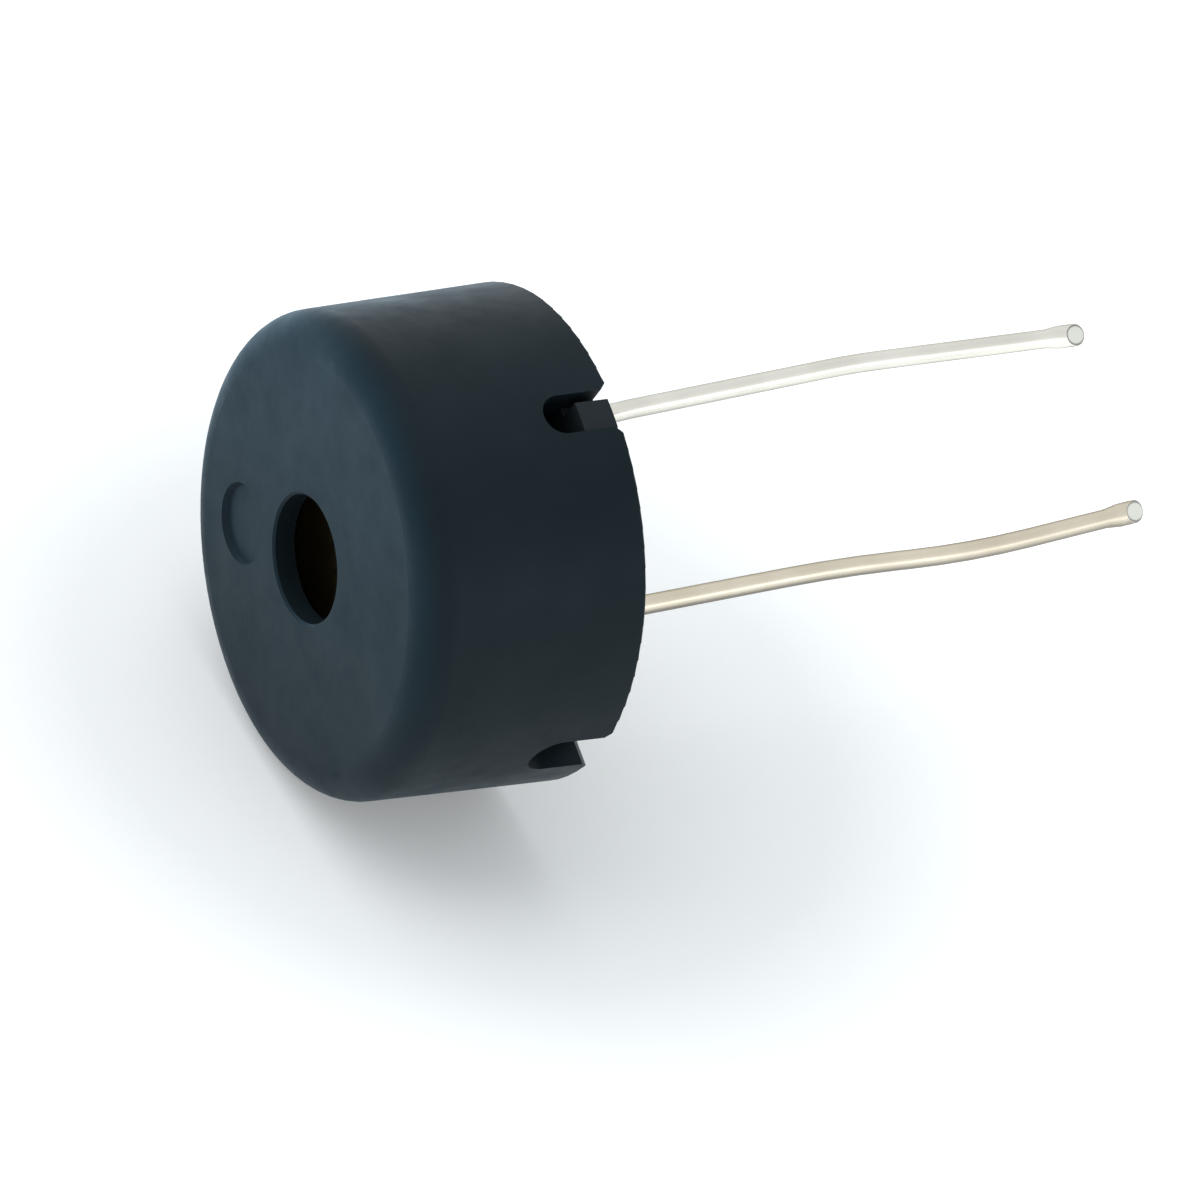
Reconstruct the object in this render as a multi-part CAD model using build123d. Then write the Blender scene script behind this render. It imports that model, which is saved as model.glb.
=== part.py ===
from build123d import *
from math import asin, cos, degrees, radians, sin
import os

# Piezo buzzer: a round moulded cap over a piezo disc, with two wire leads for a board.
# Millimetres. +Z points to the face with the sound hole, and Z = 0 is the plane where the
# buzzer sits on its board. The leads stand on the X axis and go down. Angles run from +X to +Y.

# Housing cap
BODY_DIAMETER = 12.6
BODY_HEIGHT = 6.15
CAP_DRAFT = 0.17
CAP_EDGE_RADIUS = 0.9
CAP_RIM_RADIUS = 0.06
CAP_WALL = 0.75
FACE_WALL = 0.6
RIM_LIFT = 0.05
SOUND_HOLE_DIAMETER = 3.25
SOUND_HOLE_BREAK = 0.06

# Inside of the cap
SEAT_STEP = 0.3
LEDGE_STEP = 0.5
FRONT_CHAMBER_DEPTH = 1.5
CHAMBER_FILLET = 0.4

# Notches through the cap's rim: two open ones on the X axis, and two on the Y axis that
# take the base's keys
OPEN_NOTCH_WIDTH = 1.4
KEYED_NOTCH_WIDTH = 1.06
NOTCH_DEPTH = 2.0
NOTCH_CORNER = 0.2

# Round ejector mark in the face
MARK_DIAMETER = 2.1
MARK_DEPTH = 0.15
MARK_DRAFT = 0.1
MARK_OFFSET = 3.3
MARK_ANGLE = 45.0

# Base plate
BASE_THICKNESS = 1.05
BASE_CLEARANCE = 0.04
BASE_CHAMFER = 0.1
KEY_WIDTH = 0.8
KEY_SINK = 0.1
KEY_RECESS = 0.07
KEY_GAP = 0.02
RIB_COUNT = 4
RIB_WIDTH = 0.6
RIB_ANGLE = 45.0

# Piezo disc: a brass plate with a ceramic disc and its silver electrode on the rear
PLATE_THICKNESS = 0.1
PLATE_CLEARANCE = 0.15
CERAMIC_DIAMETER = 7.0
CERAMIC_THICKNESS = 0.12
ELECTRODE_MARGIN = 0.3
ELECTRODE_THICKNESS = 0.02
GLUE_WIDTH = 0.35
GLUE_HEIGHT = 0.3

# Wire leads
LEAD_DIAMETER = 0.5
LEAD_PITCH = 5.0
LEAD_STRAIGHT = 1.6
LEAD_TAIL = 0.5
LEAD_HOLE_CLEARANCE = 0.03
COLLAR_DIAMETER = 0.9
COLLAR_THICKNESS = 0.7

# Tips of the leads: squeezed a little flat, sheared off at a slant, and dipped round
TIP_LENGTH = 1.5
FLARE_LENGTH = 0.45
TIP_WIDTH = 0.61
TIP_THICKNESS = 0.5
TIP_TURN = 24.0
SHEAR_LENGTH = 0.95
SHEAR_EDGE_RADIUS = 0.04

# Each lead below its straight stretch, chosen by hand: (along X, down, bend radius), then
# the place (along X, down) where its tip begins
CERAMIC_LEAD_BENDS = [(0.0, 0.3, 2.0), (0.43, 2.0, 8.0), (0.98, 9.6, 25.0)]
CERAMIC_LEAD_END = (1.01, 15.52)
PLATE_LEAD_BENDS = [(0.0, 0.4, 12.0), (0.33, 7.0, 45.0), (0.245, 10.9, 30.0)]
PLATE_LEAD_END = (0.675, 15.23)

# Contact springs, one soldered to each lead's tail
SPRING_WIDTH = 1.2
SPRING_THICKNESS = 0.12
SPRING_FOOT = 2.6
SPRING_PAD = 0.6
SPRING_BEND_RADIUS = 0.25
CERAMIC_PAD_INSET = 2.3
SOLDER_WIDTH = 0.34
SOLDER_GAP = 0.08

# Places that follow from these sizes
BODY_RADIUS = BODY_DIAMETER / 2
FACE_RADIUS = BODY_RADIUS - CAP_DRAFT
SOCKET_RADIUS = BODY_RADIUS - CAP_WALL
CHAMBER_RADIUS = SOCKET_RADIUS - SEAT_STEP
FRONT_RADIUS = CHAMBER_RADIUS - LEDGE_STEP
CEILING_Z = BODY_HEIGHT - FACE_WALL
LEDGE_Z = CEILING_Z - FRONT_CHAMBER_DEPTH
SOUND_HOLE_RADIUS = SOUND_HOLE_DIAMETER / 2
BASE_RADIUS = SOCKET_RADIUS - BASE_CLEARANCE
KEY_PLAY = (KEYED_NOTCH_WIDTH - KEY_WIDTH) / 2
# The cap sits turned on the base, until its keyed notches all but touch the keys.
CAP_TURN = degrees(asin((KEY_PLAY - KEY_GAP) / BODY_RADIUS))
PLATE_RADIUS = CHAMBER_RADIUS - PLATE_CLEARANCE
PLATE_Z = LEDGE_Z - PLATE_THICKNESS
CERAMIC_RADIUS = CERAMIC_DIAMETER / 2
CERAMIC_Z = PLATE_Z - CERAMIC_THICKNESS
ELECTRODE_Z = CERAMIC_Z - ELECTRODE_THICKNESS
GLUE_INNER_RADIUS = PLATE_RADIUS - GLUE_WIDTH
LEAD_RADIUS = LEAD_DIAMETER / 2
LEAD_X = LEAD_PITCH / 2
COLLAR_RADIUS = COLLAR_DIAMETER / 2
FOOT_TOP_Z = BASE_THICKNESS + SPRING_THICKNESS
TAIL_TOP_Z = FOOT_TOP_Z + LEAD_TAIL

UP = (Align.CENTER, Align.CENTER, Align.MIN)


def disc(radius, bottom, top):
    return Pos(0, 0, bottom) * Cylinder(radius, top - bottom, align=UP)


def turned(points):
    return revolve(make_face(Plane.XZ * Polyline(*points, close=True)), Axis.Z)


def widest(part, height):
    edges = part.edges().filter_by(GeomType.CIRCLE).filter_by_position(Axis.Z, height, height)
    return edges.sort_by(SortBy.RADIUS)[-1]


# The cap's outside, drafted towards the face and rounded at its front edge.
def cap_outside():
    body = turned([(0, RIM_LIFT), (BODY_RADIUS, RIM_LIFT), (FACE_RADIUS, BODY_HEIGHT), (0, BODY_HEIGHT)])
    body = fillet(widest(body, BODY_HEIGHT), CAP_EDGE_RADIUS)
    return fillet(widest(body, RIM_LIFT), CAP_RIM_RADIUS)


# The cap's inside: a socket for the base, the rear chamber, the ledge that carries the piezo
# disc, and the front chamber behind the sound hole.
def cap_inside():
    chambers = turned([
        (0, RIM_LIFT),
        (SOCKET_RADIUS, RIM_LIFT),
        (SOCKET_RADIUS, BASE_THICKNESS),
        (CHAMBER_RADIUS, BASE_THICKNESS),
        (CHAMBER_RADIUS, LEDGE_Z),
        (FRONT_RADIUS, LEDGE_Z),
        (FRONT_RADIUS, CEILING_Z),
        (0, CEILING_Z),
    ])
    return fillet(widest(chambers, CEILING_Z), CHAMBER_FILLET)


# A U-shaped notch: straight sides, a round inner end, and broken corners at the rim.
def notch(width):
    half = width / 2
    mouth = half + NOTCH_CORNER
    shoulder = NOTCH_DEPTH - half
    outline = [
        Line((-mouth, 0), (-half, NOTCH_CORNER)),
        Line((-half, NOTCH_CORNER), (-half, shoulder)),
        ThreePointArc((-half, shoulder), (0, NOTCH_DEPTH), (half, shoulder)),
        Line((half, shoulder), (half, NOTCH_CORNER)),
        Line((half, NOTCH_CORNER), (mouth, 0)),
        Line((mouth, 0), (-mouth, 0)),
    ]
    across = Plane(origin=(0, 0, RIM_LIFT), x_dir=(0, 1, 0), z_dir=(1, 0, 0))
    return extrude(make_face(across * Curve(children=outline)), BODY_DIAMETER)


def ejector_mark():
    radius = MARK_DIAMETER / 2
    x = MARK_OFFSET * cos(radians(MARK_ANGLE))
    y = MARK_OFFSET * sin(radians(MARK_ANGLE))
    return Pos(x, y, BODY_HEIGHT - MARK_DEPTH) * Cone(radius - MARK_DRAFT, radius, MARK_DEPTH, align=UP)


def housing_cap():
    cap = cap_outside() - cap_inside()
    cap -= disc(SOUND_HOLE_RADIUS, CEILING_Z, BODY_HEIGHT)
    for angle, width in ((0, OPEN_NOTCH_WIDTH), (90, KEYED_NOTCH_WIDTH)):
        cap -= PolarLocations(0, 2, start_angle=angle) * notch(width)
    cap -= ejector_mark()
    mouth = cap.edges().filter_by(GeomType.CIRCLE).filter_by_position(Axis.Z, BODY_HEIGHT, BODY_HEIGHT)
    mouth = mouth.filter_by(lambda edge: abs(edge.radius - SOUND_HOLE_RADIUS) < SOUND_HOLE_BREAK)
    cap = chamfer(mouth, SOUND_HOLE_BREAK)
    return Rot(0, 0, CAP_TURN) * cap


# Two keys stand out of the base into the cap's notches on the Y axis.
def keys():
    bottom = RIM_LIFT + KEY_RECESS
    reach = BODY_RADIUS - KEY_SINK
    bar = Pos(0, 0, bottom) * Box(KEY_WIDTH, BODY_DIAMETER, BASE_THICKNESS - bottom, align=UP)
    return bar & disc(reach, bottom, BASE_THICKNESS)


# The base closes the socket, stands a little proud of the rim, and is centred by crush ribs.
def base_plate():
    base = disc(BASE_RADIUS, 0, BASE_THICKNESS)
    base = chamfer(widest(base, 0), BASE_CHAMFER)
    base += keys()
    rib = Pos(BASE_RADIUS, 0, RIM_LIFT) * Box(RIB_WIDTH, RIB_WIDTH, BASE_THICKNESS - RIM_LIFT, align=UP)
    rib &= disc(SOCKET_RADIUS, RIM_LIFT, BASE_THICKNESS)
    base += PolarLocations(0, RIB_COUNT, start_angle=RIB_ANGLE) * rib
    for side in (1, -1):
        base -= Pos(side * LEAD_X, 0, 0) * disc(LEAD_RADIUS + LEAD_HOLE_CLEARANCE, 0, BASE_THICKNESS)
        base -= Pos(side * LEAD_X, 0, 0) * disc(COLLAR_RADIUS + LEAD_HOLE_CLEARANCE, 0, COLLAR_THICKNESS)
    return base


def diaphragm_plate():
    return disc(PLATE_RADIUS, PLATE_Z, LEDGE_Z)


def ceramic_disc():
    return disc(CERAMIC_RADIUS, CERAMIC_Z, PLATE_Z)


def silver_electrode():
    return disc(CERAMIC_RADIUS - ELECTRODE_MARGIN, ELECTRODE_Z, CERAMIC_Z)


# A bead of soft glue holds the plate's edge against the ledge.
def glue_ring():
    return turned([
        (PLATE_RADIUS, LEDGE_Z),
        (CHAMBER_RADIUS, LEDGE_Z),
        (CHAMBER_RADIUS, PLATE_Z - GLUE_HEIGHT),
        (GLUE_INNER_RADIUS, PLATE_Z),
        (PLATE_RADIUS, PLATE_Z),
    ])


# The tip flares from the round wire to an oval, and is sheared off at a slant. The slant
# faces a direction that is turned from -Y towards -X.
def lead_tip(end):
    turn = radians(TIP_TURN)
    root = Plane(origin=end.origin, x_dir=(cos(turn), -sin(turn), 0), z_dir=end.z_dir)
    squeezed = root.offset(FLARE_LENGTH) * Ellipse(TIP_WIDTH / 2, TIP_THICKNESS / 2)
    tip = loft([root * Circle(LEAD_RADIUS), squeezed])
    tip += extrude(squeezed, TIP_LENGTH - FLARE_LENGTH)
    corner = end.origin - root.y_dir * (TIP_THICKNESS / 2) + end.z_dir * TIP_LENGTH
    facing = end.z_dir * TIP_THICKNESS + root.y_dir * SHEAR_LENGTH
    tip = split(tip, bisect_by=Plane(origin=corner, z_dir=facing), keep=Keep.BOTTOM)
    sheared = tip.faces().filter_by(GeomType.PLANE).sort_by(SortBy.AREA)[-1]
    return fillet(sheared.edges(), SHEAR_EDGE_RADIUS)


# One lead is one wire: a tail through the base, a collar that stops it in the base, a
# straight stretch for the board's hole, and the bent run down to the tip.
def lead(x, bends, end):
    tail = disc(LEAD_RADIUS, COLLAR_THICKNESS, TAIL_TOP_Z)
    collar = disc(COLLAR_RADIUS, 0, COLLAR_THICKNESS)
    straight = disc(LEAD_RADIUS, -LEAD_STRAIGHT, 0)
    corners = [(0, 0)] + [(along, down) for along, down, _ in bends] + [end]
    points = [(along, 0, -LEAD_STRAIGHT - down) for along, down in corners]
    route = FilletPolyline(*points, radius=[radius for _, _, radius in bends])
    section = Plane(origin=points[0], z_dir=(0, 0, -1)) * Circle(LEAD_RADIUS)
    bent = sweep(section, path=route)
    tip = lead_tip(Plane(origin=route @ 1, z_dir=route % 1))
    return Pos(x, 0, 0) * (tail + collar + straight + bent + tip)


def lead_ceramic():
    return lead(LEAD_X, CERAMIC_LEAD_BENDS, CERAMIC_LEAD_END)


def lead_plate():
    return lead(-LEAD_X, PLATE_LEAD_BENDS, PLATE_LEAD_END)


# A bent strip: its foot lies on the base round the lead's tail, and its arm folds back over
# the tail to press a flat pad on the piezo disc.
def contact_spring(x, pad_x, pad_top):
    foot_z = BASE_THICKNESS + SPRING_THICKNESS / 2
    pad_z = pad_top - SPRING_THICKNESS / 2
    route = FilletPolyline(
        (x - SPRING_FOOT / 2, 0, foot_z),
        (x + SPRING_FOOT / 2, 0, foot_z),
        (pad_x + SPRING_PAD / 2, 0, pad_z),
        (pad_x - SPRING_PAD / 2, 0, pad_z),
        radius=SPRING_BEND_RADIUS,
    )
    start = Plane(origin=route @ 0, x_dir=(0, 1, 0), z_dir=(1, 0, 0))
    strip = sweep(start * Rectangle(SPRING_WIDTH, SPRING_THICKNESS), path=route)
    return strip - Pos(x, 0, 0) * disc(LEAD_RADIUS + LEAD_HOLE_CLEARANCE, BASE_THICKNESS, FOOT_TOP_Z)


def spring_ceramic():
    return contact_spring(LEAD_X, CERAMIC_RADIUS - CERAMIC_PAD_INSET, ELECTRODE_Z)


def spring_plate():
    return contact_spring(-LEAD_X, -(CERAMIC_RADIUS + GLUE_INNER_RADIUS) / 2, PLATE_Z)


# Solder runs up the tail from the spring's foot.
def solder(x):
    fillet_profile = [
        (LEAD_RADIUS, FOOT_TOP_Z),
        (LEAD_RADIUS + SOLDER_WIDTH, FOOT_TOP_Z),
        (LEAD_RADIUS, TAIL_TOP_Z - SOLDER_GAP),
    ]
    return Pos(x, 0, 0) * turned(fillet_profile)


def solder_ceramic():
    return solder(LEAD_X)


def solder_plate():
    return solder(-LEAD_X)


PIECES = [
    housing_cap,
    base_plate,
    diaphragm_plate,
    ceramic_disc,
    silver_electrode,
    glue_ring,
    lead_ceramic,
    lead_plate,
    spring_ceramic,
    spring_plate,
    solder_ceramic,
    solder_plate,
]

os.makedirs("parts", exist_ok=True)
for piece in PIECES:
    export_step(piece(), f"parts/{piece.__name__}.step")
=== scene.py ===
from math import cos, radians, sin

import bpy
from mathutils import Matrix, Vector

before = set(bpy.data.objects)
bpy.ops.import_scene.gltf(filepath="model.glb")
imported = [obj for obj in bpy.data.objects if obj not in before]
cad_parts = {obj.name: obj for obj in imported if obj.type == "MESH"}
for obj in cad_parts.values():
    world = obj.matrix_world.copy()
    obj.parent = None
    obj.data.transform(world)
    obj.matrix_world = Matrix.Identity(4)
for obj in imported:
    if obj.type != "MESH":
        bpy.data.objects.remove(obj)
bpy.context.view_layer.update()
MM = 0.001
WHITE = (1, 1, 1)

# The camera's axes in the object's frame, and its place from the middle of the cap's rim
RIGHT = Vector((-0.32243, -0.39179, -0.8617)).normalized()
UP = Vector((0.878, -0.46396, -0.1176)).normalized()
BACK = RIGHT.cross(UP).normalized()
RIM_HEIGHT = 0.05
RIM_CENTRE = Vector((0, 0, RIM_HEIGHT)) * MM
CAMERA_PLACE = RIM_CENTRE + (RIGHT * 2.05 - UP * 1.72 + BACK * 225.5) * MM
CAMERA_LENS = 270
CAMERA_SENSOR = 36
CAMERA_CLIP = (0.01, 10)

# The buzzer lies on its drafted side wall, on a white sheet
BODY_RADIUS = 6.3
WALL_DRAFT = 0.028
SHEET_SIZE = 0.3
SHEET_PAPER = (0.8, 0.8, 0.8, 1)
SHEET_TURN = radians(290)
SHEET_NORMAL = Vector((cos(SHEET_TURN), sin(SHEET_TURN), -WALL_DRAFT)).normalized()
SHEET_POINT = Vector((-BODY_RADIUS * cos(SHEET_TURN), -BODY_RADIUS * sin(SHEET_TURN), RIM_HEIGHT)) * MM

# The sheet's own white grows outwards between these distances, and its left part is cool
SHEET_GLOW = (0.22, 0.6)
SHEET_GLOW_REACH = (10 * MM, 21 * MM)
SHEET_COOL_REACH = (-20 * MM, 5 * MM)

# The room is cool on the left and neutral on the right, with a low window in front on the right
COOL = (0.76, 1.62, 2.3)
NEUTRAL = (0.98, 0.99, 1.0)
DAYLIGHT = (0.88, 0.96, 1.0)
DAYLIGHT_STRENGTH = 0.62
COOL_REACH = (-0.85, -0.3)
ROOM_STRENGTH = (1.1, 0.82)
WINDOW = (RIGHT * 0.85 - UP * 0.3 + BACK * 0.42).normalized()
WINDOW_REACH = (0.965, 0.992)

# The key light comes from above, a little from the left and the front
KEY_WAY = RIGHT * -0.4 + UP * 0.85 + BACK * 0.5
KEY_COLOUR = (0.97, 0.99, 1.0)

# The middle of each noise's range, where most of its values lie
NOISE_REACH = (0.3, 0.7)

# Charcoal plastic, the metals inside, ceramic and glue: each has a dark and a light tone
CAP_TONES = ((0.006, 0.0105, 0.0135), (0.0095, 0.015, 0.0195))
BASE_TONES = ((0.014, 0.017, 0.019), (0.02, 0.024, 0.027))
PLASTIC_GLOSS = 0.15
PLASTIC_TINT = (0.67, 0.91, 1.0, 1)
BRASS_TONES = ((0.58, 0.43, 0.21), (0.68, 0.52, 0.27))
BRONZE_TONES = ((0.6, 0.36, 0.22), (0.7, 0.45, 0.28))
SOLDER_TONES = ((0.6, 0.6, 0.62), (0.72, 0.72, 0.73))
SILVER_TONES = ((0.72, 0.72, 0.7), (0.82, 0.82, 0.8))
CERAMIC_TONES = ((0.74, 0.7, 0.62), (0.82, 0.79, 0.71))
GLUE_TONES = ((0.68, 0.68, 0.64), (0.78, 0.77, 0.73))

# Tinned wire in two copies, a paler one with painted light and one with painted shade on its underside.
# Both have painted shade along their edges, and the end is a sheared face in a band of painted shade
# Two copies of one wire: the paler tones are painted light, and the near-black grazing tints paint shade
# along the edges
WIRE_TONES = ((0.7, 0.635, 0.51), (0.8, 0.735, 0.605))
LIT_WIRE_TONES = ((0.78, 0.76, 0.69), (0.88, 0.865, 0.8))
WIRE_EDGE_SHADE = (0.05, 0.04, 0.03)
LIT_WIRE_EDGE_SHADE = (0.3, 0.3, 0.26)
WIRE_ROUGHNESS = 0.27
WIRE_STRETCH = (1, 1, 0.06)
# Painted shade on the plate lead's underside: darker, rougher metal where the normal faces UNDERSIDE
UNDERSIDE_SHADE_TONES = ((0.2, 0.18, 0.15), (0.3, 0.27, 0.23))
UNDERSIDE_SHADE_ROUGHNESS = 0.45
UNDERSIDE_SHADE_REACH = (0.3, 0.92)
UNDERSIDE = (-0.912, 0.406, 0)
# Painted shade around the wire's end: dark metal on the rounded end and at the edge of its sheared face
RING_SHADE_TONES = ((0.2, 0.2, 0.18), (0.3, 0.29, 0.27))
RING_SHADE_ROUGHNESS = 0.4
RING_SHADE_REACH = (0.9, 0.94)
ROUNDED_END_SHADE_REACH = (0.5, 0.7)
FACET_TONES = ((0.64, 0.66, 0.6), (0.8, 0.81, 0.75))
FACET_ROUGHNESS = (0.35, 0.6)
FACET_NORMAL = (-0.358, -0.808, -0.468)
FACET_REACH = (0.975, 0.992)
FACET_RADIUS = (0.205 * MM, 0.245 * MM)
CERAMIC_FACET = Vector((3.501, -0.032, -18.078)) * MM
PLATE_FACET = Vector((-1.745, -0.032, -17.785)) * MM
DOWN = (0, 0, -1)


# Node helpers
def node(tree, kind, inputs=None, **settings):
    item = tree.nodes.new(kind)
    for key, value in settings.items():
        setattr(item, key, value)
    for key, value in (inputs or {}).items():
        if hasattr(value, "is_output"):
            tree.links.new(value, item.inputs[key])
        else:
            item.inputs[key].default_value = value
    return item


def new_material(name):
    material = bpy.data.materials.new(name)
    material.use_nodes = True
    tree = material.node_tree
    tree.nodes.clear()
    output = node(tree, "ShaderNodeOutputMaterial")
    return material, tree, output


def noise(tree, where, scale, detail, roughness=0.5):
    inputs = {"Vector": where, "Scale": scale, "Detail": detail, "Roughness": roughness}
    return node(tree, "ShaderNodeTexNoise", inputs).outputs["Fac"]


# The result goes from low to high while the value goes through its reach.
def ramp(tree, value, low, high, reach=(0.0, 1.0)):
    start, end = reach
    inputs = {"Value": value, "From Min": start, "From Max": end, "To Min": low, "To Max": high}
    return node(tree, "ShaderNodeMapRange", inputs).outputs["Result"]


def mask(tree, value, reach):
    return ramp(tree, value, 0.0, 1.0, reach)


def colours(tree, factor, first, second):
    item = node(tree, "ShaderNodeMix", {"Factor": factor}, data_type="RGBA")
    item.inputs[6].default_value = (*first, 1)
    item.inputs[7].default_value = (*second, 1)
    return item.outputs[2]


def math(tree, operation, first, second):
    return node(tree, "ShaderNodeMath", {0: first, 1: second}, operation=operation).outputs[0]


def vector(tree, operation, first, second, result="Value"):
    item = node(tree, "ShaderNodeVectorMath", {0: first, 1: second}, operation=operation)
    return item.outputs[result]


def blend(tree, amount, first, second):
    return node(tree, "ShaderNodeMixShader", {0: amount, 1: first, 2: second}).outputs[0]


def bump(tree, height, strength, distance):
    inputs = {"Height": height, "Strength": strength, "Distance": distance}
    return node(tree, "ShaderNodeBump", inputs).outputs["Normal"]


def principled(tree, inputs):
    return node(tree, "ShaderNodeBsdfPrincipled", inputs).outputs["BSDF"]


# Moulded charcoal plastic: a fine sparked grain, faint flow marks and a few rubbed patches
def moulded_plastic(name, tones, rough):
    material, tree, output = new_material(name)
    where = node(tree, "ShaderNodeTexCoord").outputs["Object"]
    grain = noise(tree, where, scale=9000, detail=2.0)
    cloud = noise(tree, where, scale=350, detail=4.0)
    rubbed = noise(tree, where, scale=900, detail=5.0, roughness=0.6)
    surface = principled(tree, {
        "Base Color": colours(tree, mask(tree, cloud, NOISE_REACH), *tones),
        "Roughness": ramp(tree, rubbed, rough - 0.06, rough + 0.08, NOISE_REACH),
        "Specular IOR Level": PLASTIC_GLOSS,
        "Specular Tint": PLASTIC_TINT,
        "Normal": bump(tree, grain, strength=0.25, distance=0.01 * MM),
    })
    tree.links.new(surface, output.inputs["Surface"])
    return material


# Bare metal: a slow change of tone, and streaks or grain along one direction
def bare_metal(tree, where, tones, rough, stretch, scale, edge_shade_tint=WHITE):
    along = node(tree, "ShaderNodeMapping", {"Vector": where, "Scale": stretch}).outputs["Vector"]
    streaks = noise(tree, along, scale, detail=4.0, roughness=0.6)
    cloud = noise(tree, where, scale=600, detail=3.0)
    relief = bump(tree, streaks, strength=0.5, distance=0.004 * MM)
    surface = principled(tree, {
        "Base Color": colours(tree, mask(tree, cloud, NOISE_REACH), *tones),
        "Metallic": 1.0,
        # Below white, this tint is painted shade at grazing angles
        "Specular Tint": (*edge_shade_tint, 1),
        "Roughness": ramp(tree, streaks, rough - 0.07, rough + 0.1, NOISE_REACH),
        "Normal": relief,
    })
    return surface, streaks, cloud, relief


def metal(name, tones, rough, stretch, scale):
    material, tree, output = new_material(name)
    where = node(tree, "ShaderNodeTexCoord").outputs["Object"]
    surface = bare_metal(tree, where, tones, rough, stretch, scale)[0]
    tree.links.new(surface, output.inputs["Surface"])
    return material


# How far a place on the wire's end is from the middle of its sheared face, in the photograph's
# view of it
def facet_radius(tree, where, middle):
    apart = vector(tree, "SUBTRACT", where, middle, "Vector")
    deep = vector(tree, "PROJECT", apart, BACK, "Vector")
    return vector(tree, "DISTANCE", apart, deep)


# A wire, drawn along its length, with painted shade on its underside where asked. Its sheared face
# is pale and rough inside a band of painted shade, which also covers the rounded end.
def wire(name, tones, edge_shade_tint, middle, painted_underside_shade=0.0):
    material, tree, output = new_material(name)
    place = node(tree, "ShaderNodeTexCoord").outputs
    where = place["Object"]
    normal = place["Normal"]
    bare = bare_metal(tree, where, tones, WIRE_ROUGHNESS, WIRE_STRETCH, scale=6000, edge_shade_tint=edge_shade_tint)
    surface, streaks, cloud, relief = bare
    # Painted shade: the underside is blended towards dark metal
    if painted_underside_shade > 0:
        below = vector(tree, "DOT_PRODUCT", normal, UNDERSIDE)
        underside_shade_surface = principled(tree, {
            "Base Color": colours(tree, cloud, *UNDERSIDE_SHADE_TONES),
            "Metallic": 1.0,
            "Roughness": UNDERSIDE_SHADE_ROUGHNESS,
        })
        surface = blend(tree, ramp(tree, below, 0.0, painted_underside_shade, UNDERSIDE_SHADE_REACH), surface, underside_shade_surface)
    # Painted shade: the rounded end and the edge of the sheared face get dark metal
    ring_shade = principled(tree, {
        "Base Color": colours(tree, cloud, *RING_SHADE_TONES),
        "Metallic": 1.0,
        "Roughness": RING_SHADE_ROUGHNESS,
    })
    facet = principled(tree, {
        "Base Color": colours(tree, streaks, *FACET_TONES),
        "Metallic": 1.0,
        "Roughness": ramp(tree, streaks, *FACET_ROUGHNESS, NOISE_REACH),
        "Normal": relief,
    })
    facing = vector(tree, "DOT_PRODUCT", normal, FACET_NORMAL)
    ending = vector(tree, "DOT_PRODUCT", normal, DOWN)
    ring_shade_mask = math(tree, "MAXIMUM", mask(tree, facing, RING_SHADE_REACH), mask(tree, ending, ROUNDED_END_SHADE_REACH))
    surface = blend(tree, ring_shade_mask, surface, ring_shade)
    # The pale face is trimmed to a disc, so the painted shade widens around it
    inside = ramp(tree, facet_radius(tree, where, middle), 1.0, 0.0, FACET_RADIUS)
    flat = math(tree, "MINIMUM", mask(tree, facing, FACET_REACH), inside)
    surface = blend(tree, flat, surface, facet)
    tree.links.new(surface, output.inputs["Surface"])
    return material


# Fired ceramic and cured glue: matte, with a fine grain
def matte(name, tones, rough, scale, relief, subsurface):
    material, tree, output = new_material(name)
    where = node(tree, "ShaderNodeTexCoord").outputs["Object"]
    grain = noise(tree, where, scale, detail=4.0, roughness=0.6)
    cloud = noise(tree, where, scale=500, detail=3.0)
    surface = principled(tree, {
        "Base Color": colours(tree, mask(tree, cloud, NOISE_REACH), *tones),
        "Roughness": ramp(tree, grain, rough - 0.08, rough + 0.08, NOISE_REACH),
        "Subsurface Weight": subsurface,
        "Subsurface Scale": 0.2 * MM,
        "Normal": bump(tree, grain, strength=0.4, distance=relief * MM),
    })
    tree.links.new(surface, output.inputs["Surface"])
    return material


def dress(material, *names):
    for name in names:
        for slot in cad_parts[name].material_slots:
            slot.material = material


dress(moulded_plastic("cap_plastic", CAP_TONES, rough=0.45), "housing_cap")
dress(moulded_plastic("base_plastic", BASE_TONES, rough=0.55), "base_plate")
# The plate lead's copy has painted shade on its underside and edges, and the ceramic lead's paler copy
# is painted light
dress(wire("tinned_wire", WIRE_TONES, WIRE_EDGE_SHADE, PLATE_FACET, painted_underside_shade=1.0), "lead_plate")
dress(wire("tinned_wire_painted_lit", LIT_WIRE_TONES, LIT_WIRE_EDGE_SHADE, CERAMIC_FACET), "lead_ceramic")
brass = metal("brass_sheet", BRASS_TONES, rough=0.5, stretch=(1, 0.05, 1), scale=3000)
dress(brass, "diaphragm_plate")
bronze = metal("spring_bronze", BRONZE_TONES, rough=0.35, stretch=(0.1, 1, 0.1), scale=4000)
dress(bronze, "spring_ceramic", "spring_plate")
solder = metal("solder", SOLDER_TONES, rough=0.25, stretch=(1, 1, 1), scale=2500)
dress(solder, "solder_ceramic", "solder_plate")
silver = metal("fired_silver", SILVER_TONES, rough=0.6, stretch=(1, 1, 1), scale=5000)
dress(silver, "silver_electrode")
ceramic = matte("piezo_ceramic", CERAMIC_TONES, rough=0.7, scale=5000, relief=0.006, subsurface=0.0)
dress(ceramic, "ceramic_disc")
glue = matte("soft_glue", GLUE_TONES, rough=0.5, scale=1500, relief=0.01, subsurface=0.3)
dress(glue, "glue_ring")


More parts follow.
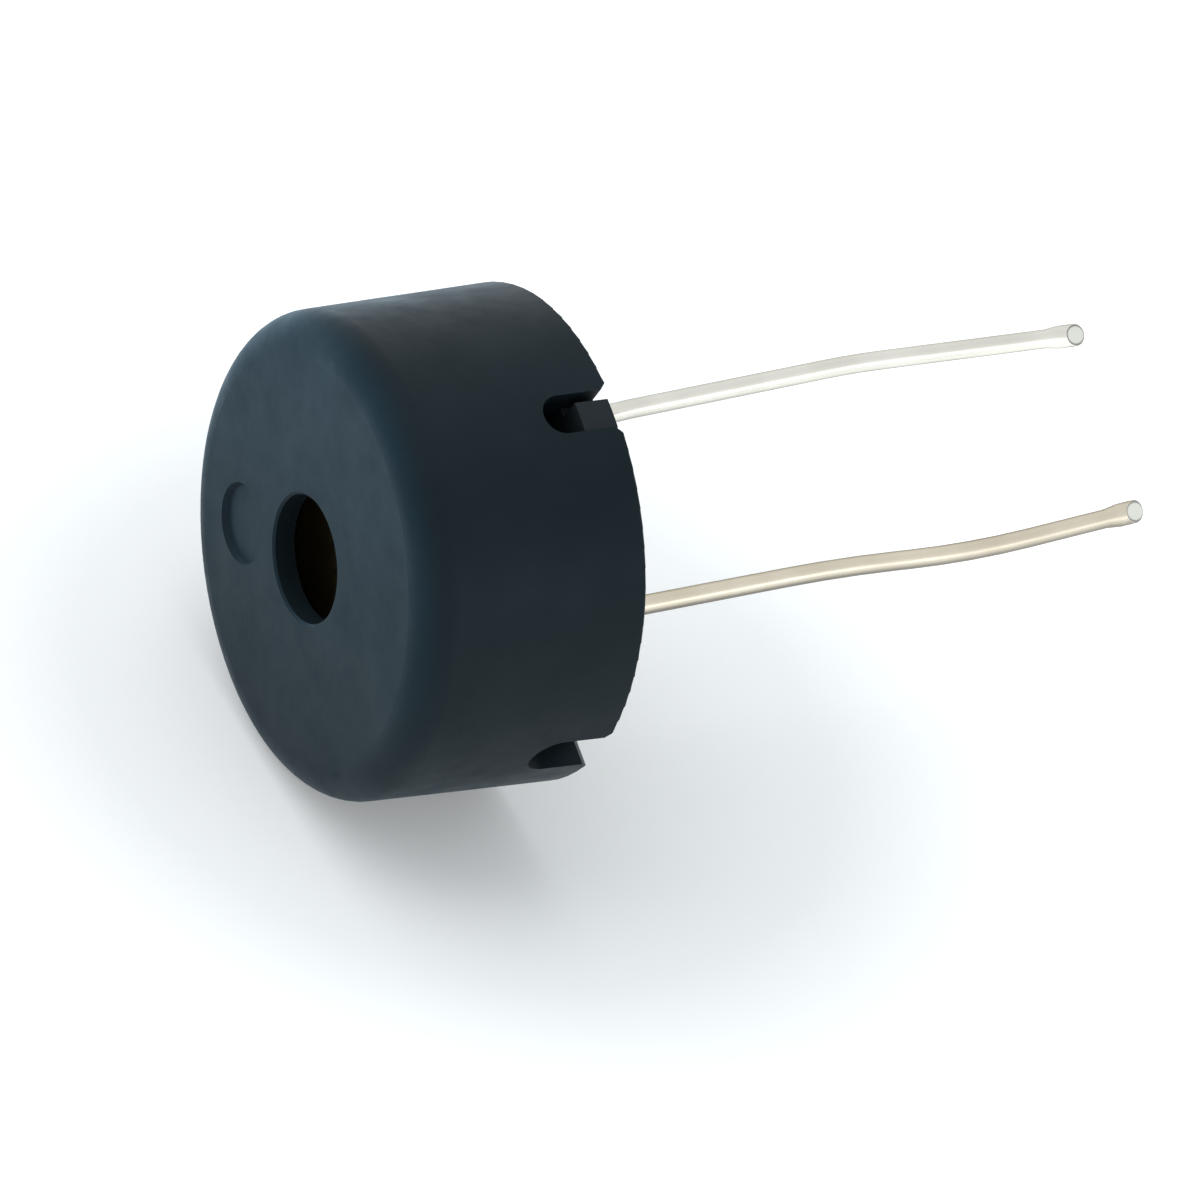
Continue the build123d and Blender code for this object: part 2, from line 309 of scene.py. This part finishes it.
# The sheet's material: pale paper, to which camera, glossy and transmission rays add more white.
# The white grows outwards, so the sheet ends in white and keeps the object's shadow. Its back
# is clear.
def sheet_white():
    material, tree, output = new_material("sheet_white")
    where = node(tree, "ShaderNodeTexCoord").outputs["Object"]
    middle = vector(tree, "DISTANCE", where, SHEET_POINT)
    side = vector(tree, "DOT_PRODUCT", where, RIGHT)
    rays = node(tree, "ShaderNodeLightPath").outputs
    mirrored = math(tree, "MAXIMUM", rays["Is Glossy Ray"], rays["Is Transmission Ray"])
    seen = math(tree, "MAXIMUM", rays["Is Camera Ray"], mirrored)
    tone = math(tree, "MAXIMUM", rays["Is Camera Ray"], mask(tree, side, SHEET_COOL_REACH))
    glow = node(tree, "ShaderNodeEmission", {
        "Color": colours(tree, tone, COOL, WHITE),
        "Strength": math(tree, "MULTIPLY", seen, ramp(tree, middle, *SHEET_GLOW, SHEET_GLOW_REACH)),
    }).outputs[0]
    paper = node(tree, "ShaderNodeBsdfDiffuse", {"Color": SHEET_PAPER}).outputs[0]
    lit = node(tree, "ShaderNodeAddShader", {0: paper, 1: glow}).outputs[0]
    clear = node(tree, "ShaderNodeBsdfTransparent").outputs[0]
    behind = node(tree, "ShaderNodeNewGeometry").outputs["Backfacing"]
    tree.links.new(blend(tree, behind, lit, clear), output.inputs["Surface"])
    return material


def sheet():
    across = SHEET_NORMAL.orthogonal().normalized()
    along = SHEET_NORMAL.cross(across)
    places = ((-1, -1), (1, -1), (1, 1), (-1, 1))
    corners = [SHEET_POINT + (across * i + along * j) * SHEET_SIZE for i, j in places]
    mesh = bpy.data.meshes.new("sheet")
    mesh.from_pydata(corners, [], [(0, 1, 2, 3)])
    mesh.update()
    if mesh.polygons[0].normal.dot(SHEET_NORMAL) < 0:
        mesh.flip_normals()
    mesh.materials.append(sheet_white())
    item = bpy.data.objects.new("sheet", mesh)
    bpy.context.scene.collection.objects.link(item)


sheet()


# The world: white to the camera, a plain soft room to everything else
def room():
    world = bpy.data.worlds.new("room")
    world.use_nodes = True
    tree = world.node_tree
    tree.nodes.clear()
    output = node(tree, "ShaderNodeOutputWorld")
    rays = node(tree, "ShaderNodeLightPath").outputs
    aim = node(tree, "ShaderNodeTexCoord").outputs["Generated"]
    height = vector(tree, "DOT_PRODUCT", aim, SHEET_NORMAL)
    side = vector(tree, "DOT_PRODUCT", aim, RIGHT)
    window = vector(tree, "DOT_PRODUCT", aim, WINDOW)
    strength = math(tree, "ADD", ramp(tree, height, *ROOM_STRENGTH), mask(tree, window, WINDOW_REACH))
    gloss = node(tree, "ShaderNodeBackground", {
        "Color": colours(tree, mask(tree, side, COOL_REACH), COOL, NEUTRAL),
        "Strength": strength,
    }).outputs[0]
    white = node(tree, "ShaderNodeBackground", {"Color": (*WHITE, 1), "Strength": 1.0}).outputs[0]
    day = {"Color": (*DAYLIGHT, 1), "Strength": DAYLIGHT_STRENGTH}
    soft = node(tree, "ShaderNodeBackground", day).outputs[0]
    shiny = blend(tree, rays["Is Glossy Ray"], soft, gloss)
    clear = math(tree, "MAXIMUM", rays["Is Camera Ray"], rays["Is Transmission Ray"])
    tree.links.new(blend(tree, clear, shiny, white), output.inputs["Surface"])
    bpy.context.scene.world = world


room()


# A soft rectangular lamp that faces the buzzer, its long side across the view
def lamp(name, direction, distance, width, height, power, colour):
    data = bpy.data.lights.new(name, "AREA")
    data.shape = "RECTANGLE"
    data.size = width
    data.size_y = height
    data.energy = power
    data.color = colour
    item = bpy.data.objects.new(name, data)
    toward = direction.normalized()
    across = (RIGHT - toward * RIGHT.dot(toward)).normalized()
    turn = Matrix((across, toward.cross(across), toward)).transposed().to_4x4()
    item.matrix_world = Matrix.Translation(RIM_CENTRE + toward * distance) @ turn
    item.visible_glossy = False
    bpy.context.scene.collection.objects.link(item)


lamp("key", KEY_WAY, distance=0.4, width=0.8, height=0.35, power=1.35, colour=KEY_COLOUR)


def camera():
    data = bpy.data.cameras.new("camera")
    data.lens = CAMERA_LENS
    data.sensor_width = CAMERA_SENSOR
    data.clip_start, data.clip_end = CAMERA_CLIP
    item = bpy.data.objects.new("camera", data)
    axes = Matrix((RIGHT, UP, BACK)).transposed().to_4x4()
    item.matrix_world = Matrix.Translation(CAMERA_PLACE) @ axes
    bpy.context.scene.collection.objects.link(item)
    bpy.context.scene.camera = item


camera()
bpy.context.scene.view_settings.view_transform = "Standard"
